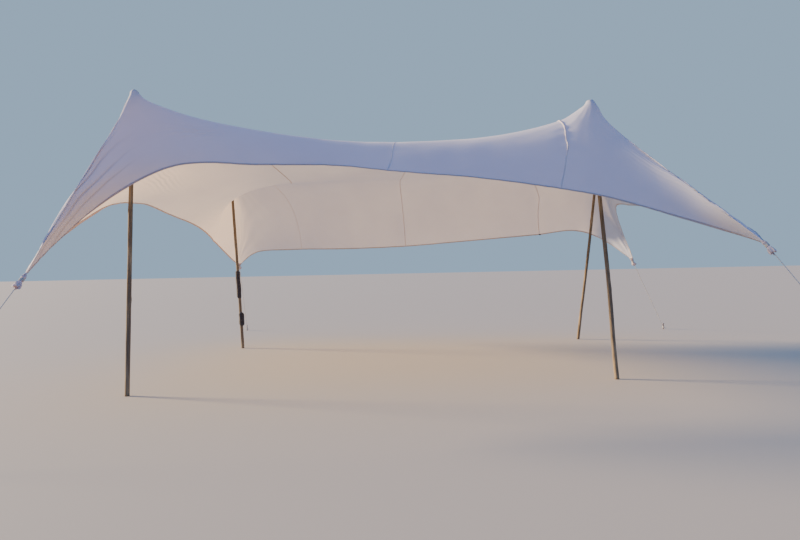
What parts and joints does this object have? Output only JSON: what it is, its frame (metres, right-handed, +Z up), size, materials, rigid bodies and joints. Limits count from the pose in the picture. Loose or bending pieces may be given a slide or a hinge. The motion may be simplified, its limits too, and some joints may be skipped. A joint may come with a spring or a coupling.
{
  "type": "stretch tent",
  "caption": "White stretch-fabric shade tent: a sewn sheet pulled over timber poles into peaks, with curved edges, knotted corners, guy ropes and ground stakes.",
  "frame": {"origin": "bottom centre of the bounding box, at ground level", "axes": "+X to the right along the front edge as seen from the front, -Y out of the tall front edge, +Z up"},
  "size_m": [8.668, 9.1532, 3.12],
  "materials": {
    "cloth": "thin white knitted stretch cloth, slightly translucent",
    "thread": "folded and sewn stretch cloth",
    "wood": "weathered raw timber",
    "pad": "dark cloth wrapped on the pole end",
    "rope": "off-white twisted rope",
    "steel": "dull worn steel"
  },
  "bodies": {
    "root": {"canopy_strip_1": "cloth", "canopy_strip_2": "cloth", "canopy_strip_3": "cloth", "canopy_strip_4": "cloth", "seam_1": "thread", "seam_2": "thread", "seam_3": "thread", "hem_front": "thread", "hem_back": "thread", "hem_left": "thread", "hem_right": "thread", "pole_front_left": "wood", "pad_front_left": "pad", "knot_front_left": "cloth", "rope_front_left": "rope", "stake_front_left": "steel", "pole_front_right": "wood", "pad_front_right": "pad", "knot_front_right": "cloth", "rope_front_right": "rope", "stake_front_right": "steel", "pole_back_right": "wood", "pad_back_right": "pad", "knot_back_right": "cloth", "rope_back_right": "rope", "stake_back_right": "steel", "pole_back_left": "wood", "pad_back_left": "pad", "knot_back_left": "cloth", "rope_back_left": "rope", "stake_back_left": "steel"}
  },
  "joints": []
}
